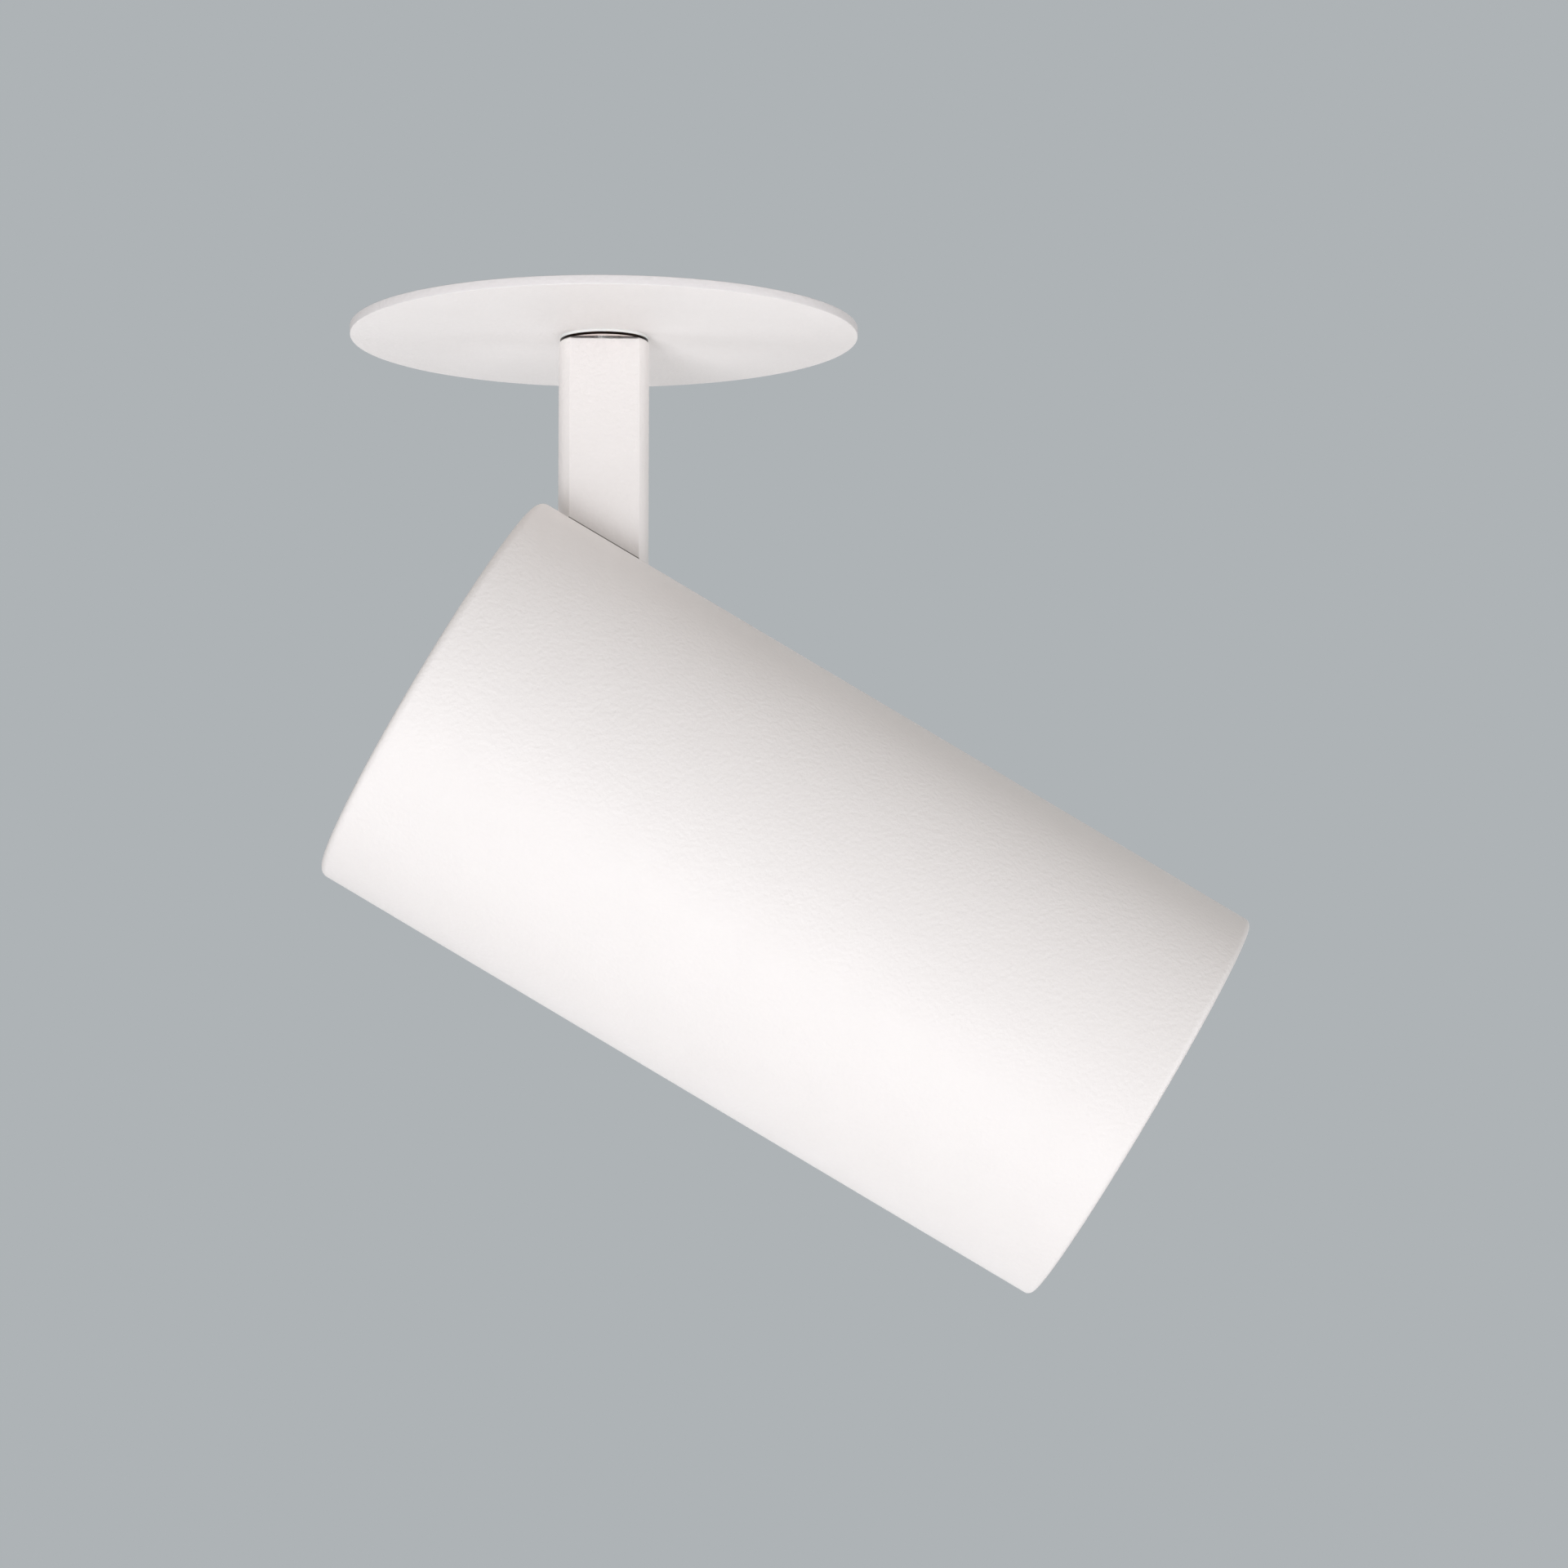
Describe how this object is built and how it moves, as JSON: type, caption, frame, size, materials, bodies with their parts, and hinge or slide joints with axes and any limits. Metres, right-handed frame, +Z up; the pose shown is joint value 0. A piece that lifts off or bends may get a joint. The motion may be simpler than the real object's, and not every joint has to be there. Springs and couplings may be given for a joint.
{
  "type": "adjustable ceiling spotlight",
  "caption": "Cylinder spotlight on a round stem under a thin round ceiling plate, with a turning stem, a tilting head and sprung ceiling clips.",
  "frame": {"origin": "middle of the ceiling plate's back face, on the vertical axis that the stem turns about", "axes": "+Z up into the ceiling, +X towards the light end of the tilted head, +Y along the tilt axis"},
  "size_m": [0.1626, 0.09, 0.1828],
  "materials": {
    "powder_coated_steel": "satin",
    "powder_coated_aluminium": "satin",
    "acetal": "matte",
    "ptfe": "matte",
    "nylon": "matte",
    "zinc_plated_steel": "satin",
    "stainless_steel": "satin",
    "spring_steel": "satin",
    "brass": "satin",
    "silicone_sheath": "matte",
    "core_insulation": "matte",
    "cast_aluminium": "satin",
    "graphite_pad": "matte",
    "board_mask": "matte",
    "phosphor": "satin",
    "faceted_reflector": "polished",
    "clear_glass": "gloss",
    "black_silicone": "matte",
    "black_anodised_aluminium": "matte"
  },
  "bodies": {
    "ceiling_mount": {"ceiling_plate": "powder_coated_steel", "bearing_bush": "acetal", "slip_washer": "ptfe", "mounting_bracket": "zinc_plated_steel", "plate_studs": "zinc_plated_steel", "plate_nuts": "zinc_plated_steel", "clip_pins": "stainless_steel", "clip_springs": "spring_steel", "terminal_block": "nylon", "terminal_tubes": "brass", "terminal_screws": "zinc_plated_steel", "block_screw": "zinc_plated_steel", "ceiling_lead": "silicone_sheath", "ceiling_lead_cores": "core_insulation"},
    "swivel_stem": {"steel_washer": "stainless_steel", "stem": "powder_coated_steel", "stop_washer": "zinc_plated_steel", "neck_disc_spring": "spring_steel", "lock_nut": "zinc_plated_steel", "pivot_screws": "stainless_steel", "friction_washers": "ptfe", "pivot_disc_springs": "spring_steel", "stem_lead": "silicone_sheath"},
    "head": {"head_tube": "powder_coated_aluminium", "back_cap": "powder_coated_aluminium", "cap_screws": "zinc_plated_steel", "cap_standoffs": "stainless_steel", "tilt_bracket": "zinc_plated_steel", "bracket_screws": "zinc_plated_steel", "heat_sink": "cast_aluminium", "thermal_pad": "graphite_pad", "led_board": "board_mask", "led_emitter": "phosphor", "led_holder": "nylon", "holder_screws": "zinc_plated_steel", "reflector": "faceted_reflector", "front_glass": "clear_glass", "glass_gasket": "black_silicone", "baffle": "black_anodised_aluminium", "baffle_o_ring": "black_silicone", "head_lead": "silicone_sheath", "head_lead_cores": "core_insulation"},
    "right_clip": {"clip_arm_right": "spring_steel"},
    "left_clip": {"clip_arm_left": "spring_steel"}
  },
  "joints": [
    {"name": "pan", "type": "hinge", "parent": "ceiling_mount", "child": "swivel_stem", "pos_m": [0, 0, 0], "axis": [0, 0, 1], "range_deg": [-170, 170]},
    {"name": "tilt", "type": "hinge", "parent": "swivel_stem", "child": "head", "pos_m": [0, 0, -0.0823], "axis": [0, 1, 0], "range_deg": [-30.6, 59.4]},
    {"name": "right_clip_fold", "type": "hinge", "parent": "ceiling_mount", "child": "right_clip", "pos_m": [0.027, 0, 0.0039], "axis": [0, -1, 0], "range_deg": [0, 85], "stiffness_Nm_per_rad": 0.02, "springref_deg": -11.46},
    {"name": "left_clip_fold", "type": "hinge", "parent": "ceiling_mount", "child": "left_clip", "pos_m": [-0.027, 0, 0.0039], "axis": [0, 1, 0], "range_deg": [0, 85], "stiffness_Nm_per_rad": 0.02, "springref_deg": -11.46}
  ]
}
